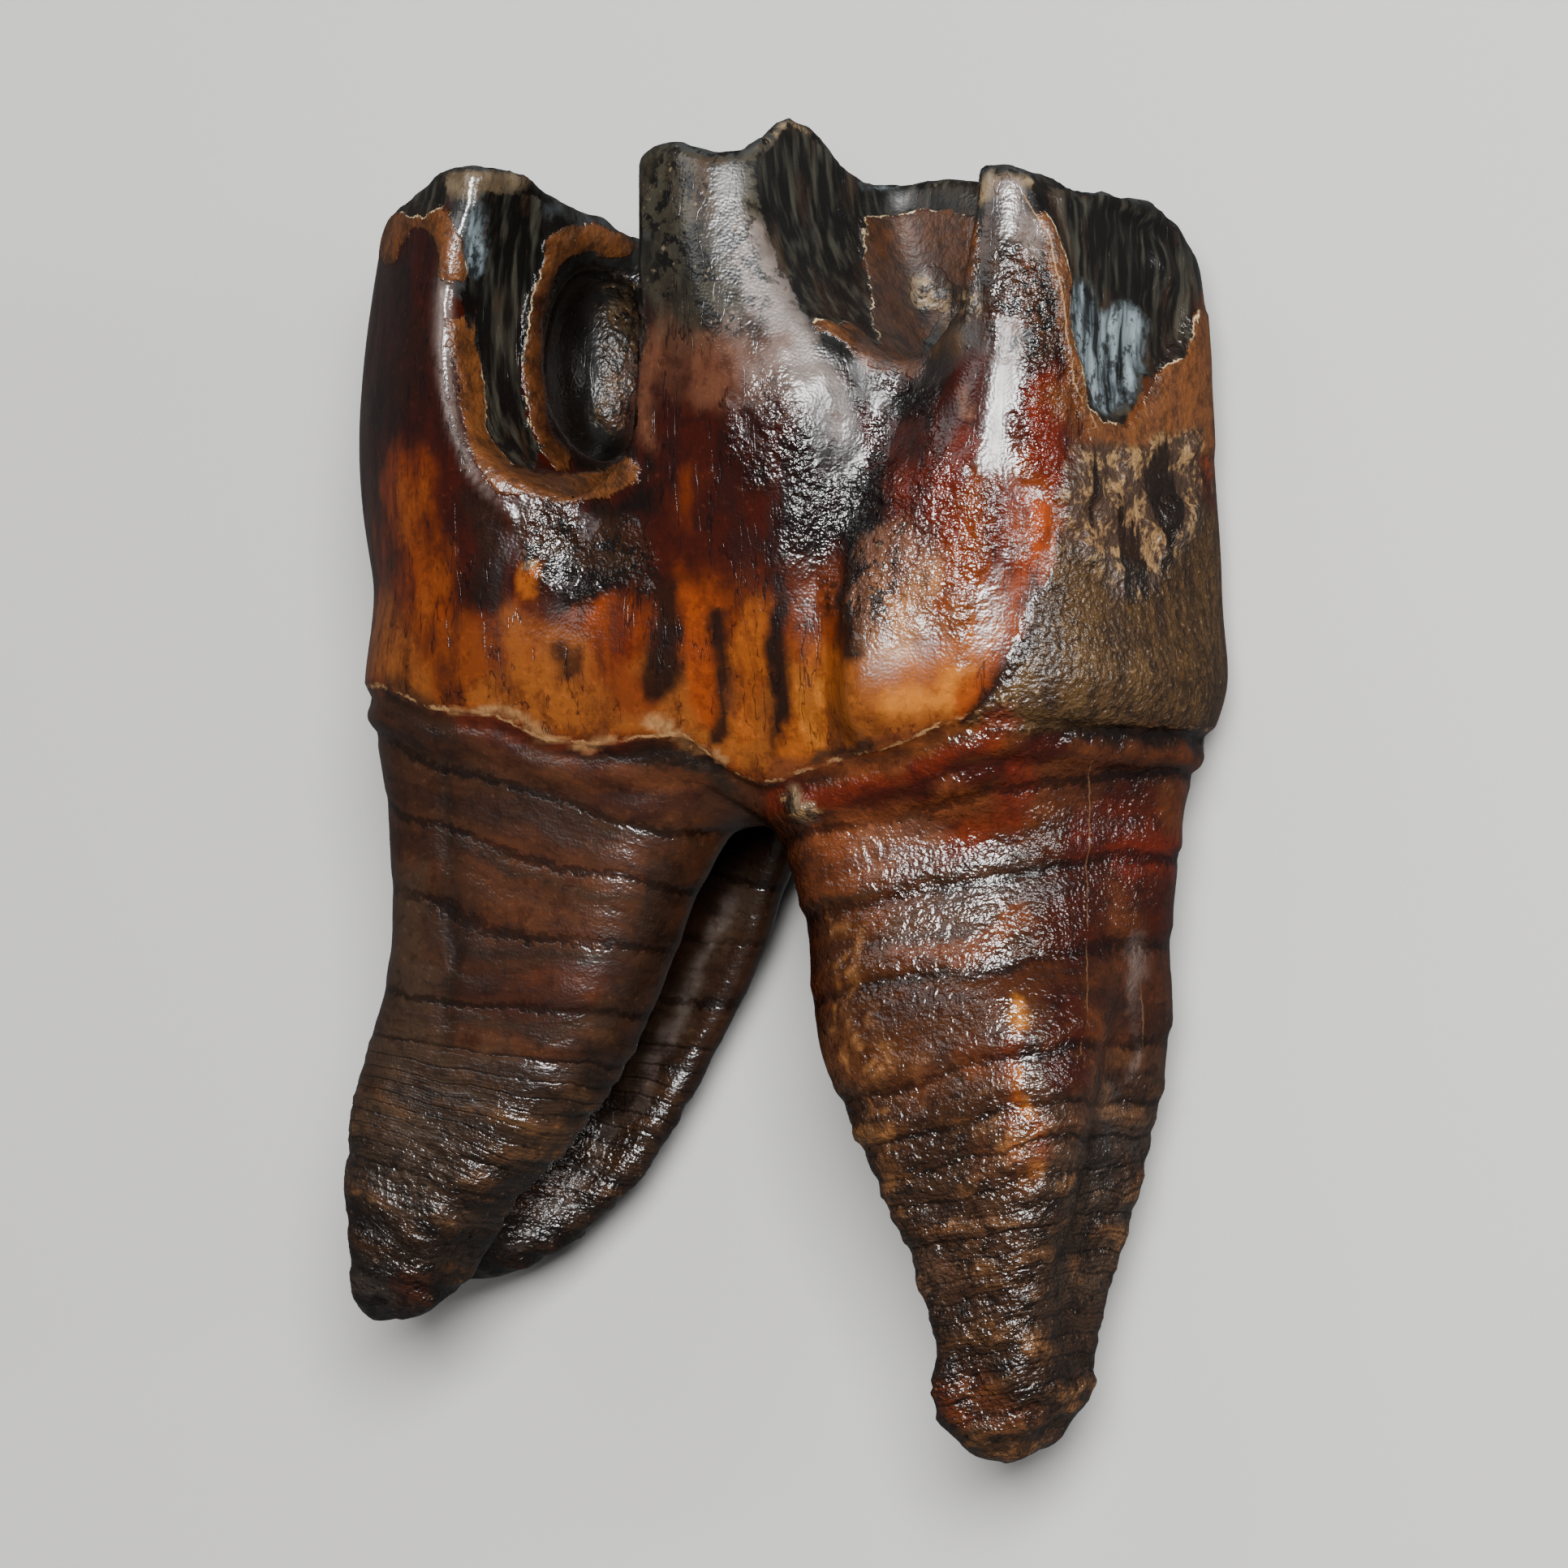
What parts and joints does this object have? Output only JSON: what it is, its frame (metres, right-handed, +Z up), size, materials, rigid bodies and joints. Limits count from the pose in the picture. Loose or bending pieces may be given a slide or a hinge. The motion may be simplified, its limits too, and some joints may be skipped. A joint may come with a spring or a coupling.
{
  "type": "fossil woolly rhinoceros lower molar",
  "caption": "Fossil cheek tooth of a woolly rhinoceros: a tall folded crown over two long roots, lying on its cheek side.",
  "frame": {"origin": "middle of the tooth's footprint, on the surface it lies on", "axes": "+X toward the front of the tooth, +Y from the root tips to the chewing face, +Z up, from the cheek side to the tongue side"},
  "size_m": [0.0524, 0.0778, 0.0274],
  "materials": {
    "enamel": "glossy fossil enamel, black and blue-grey above, orange and red-brown below",
    "dentine": "varnished brown fossil root with growth rings, duller toward the tips",
    "cement": "matt brown crumbly fossil cement"
  },
  "bodies": {
    "root": {"crown": "enamel", "root_front": "dentine", "root_back": "dentine", "cement_front_valley": "cement", "cement_back_valley": "cement"}
  },
  "joints": []
}
